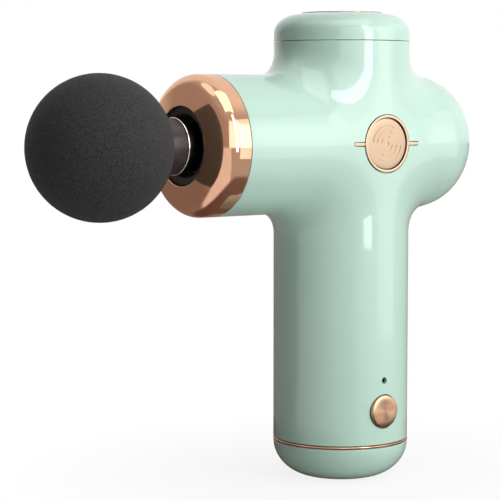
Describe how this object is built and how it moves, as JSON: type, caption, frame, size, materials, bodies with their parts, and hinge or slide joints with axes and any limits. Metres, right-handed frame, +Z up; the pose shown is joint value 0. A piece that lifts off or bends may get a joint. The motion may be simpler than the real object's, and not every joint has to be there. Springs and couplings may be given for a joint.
{
  "type": "massage gun",
  "caption": "Compact percussion massage gun: cross-shaped glossy body, ball head on a reciprocating piston, metal trim and push button.",
  "frame": {"origin": "on the handle's axis, at the flat underside of the bottom cap", "axes": "+Z up along the handle, -X towards the massage head along the barrel, -Y towards the power button and the badge"},
  "size_m": [0.1623, 0.0456, 0.1513],
  "materials": {
    "mint_plastic": "high gloss",
    "rose_gold": "polished rose gold",
    "foam": "fine matte foam",
    "black_plastic": "satin",
    "black_rubber": "matte",
    "chrome": "mirror",
    "steel": "satin",
    "alloy": "machined",
    "bronze": "sintered",
    "copper_winding": "enamelled",
    "nylon": "moulded",
    "cell": "shrink wrap",
    "board": "solder mask",
    "lamp": "clear"
  },
  "bodies": {
    "casing": {"main_housing": "mint_plastic", "bottom_cap": "mint_plastic", "top_cap": "mint_plastic", "top_plate": "rose_gold", "bottom_trim_ring": "rose_gold", "nose_ring": "rose_gold", "badge_rim": "rose_gold", "badge_disc": "rose_gold", "nose_collar": "black_rubber", "motor_mount": "alloy", "motor_stator": "copper_winding", "lower_bearing": "steel", "upper_bearing": "steel", "mount_damper_1": "black_rubber", "mount_damper_2": "black_rubber", "guide_sleeve": "nylon", "guide_bush": "bronze", "battery_cell_1": "cell", "battery_cell_2": "cell", "cell_link_strip": "steel", "battery_cradle": "nylon", "control_board": "board", "charge_board": "board", "button_switch": "black_plastic", "status_lamp": "lamp", "charging_port": "steel", "mount_screw_1": "steel", "mount_screw_2": "steel", "cradle_screw_1": "steel", "cradle_screw_2": "steel", "sleeve_screw_1": "steel", "sleeve_screw_2": "steel", "sleeve_screw_3": "steel", "board_screw_1": "steel", "board_screw_2": "steel", "charge_screw_1": "steel", "charge_screw_2": "steel"},
    "rotor": {"rotor_bell": "steel", "magnet_ring": "steel", "motor_shaft": "steel", "eccentric_wheel": "bronze", "crank_pin": "steel"},
    "rod": {"connecting_rod": "alloy", "rod_bearing": "steel"},
    "piston_assembly": {"piston": "steel", "wrist_pin": "steel"},
    "massage_head": {"foam_ball": "foam", "head_plug": "black_plastic", "neck_trim_ring": "chrome", "head_seal": "black_rubber"},
    "button": {"power_button": "rose_gold"}
  },
  "joints": [
    {"name": "crank_spin", "type": "hinge", "parent": "casing", "child": "rotor", "pos_m": [0, 0, 0.1089], "axis": [0, 0, 1], "continuous": true},
    {"name": "rod_swing", "type": "hinge", "parent": "rotor", "child": "rod", "pos_m": [-0.0035, 0, 0.1089], "axis": [0, 0, 1], "continuous": true},
    {"name": "piston_stroke", "type": "slide", "parent": "casing", "child": "piston_assembly", "axis": [1, 0, 0], "range_m": [0, 0.007]},
    {"name": "head_pull", "type": "slide", "parent": "piston_assembly", "child": "massage_head", "axis": [-1, 0, 0], "range_m": [0, 0.018]},
    {"name": "power_press", "type": "slide", "parent": "casing", "child": "button", "axis": [0, 1, 0], "range_m": [0, 0.0004], "stiffness_N_per_m": 900, "springref_m": -0.0012}
  ],
  "couplings": [
    {"joint": "rod_swing", "follows": "crank_spin", "ratio": -1}
  ]
}
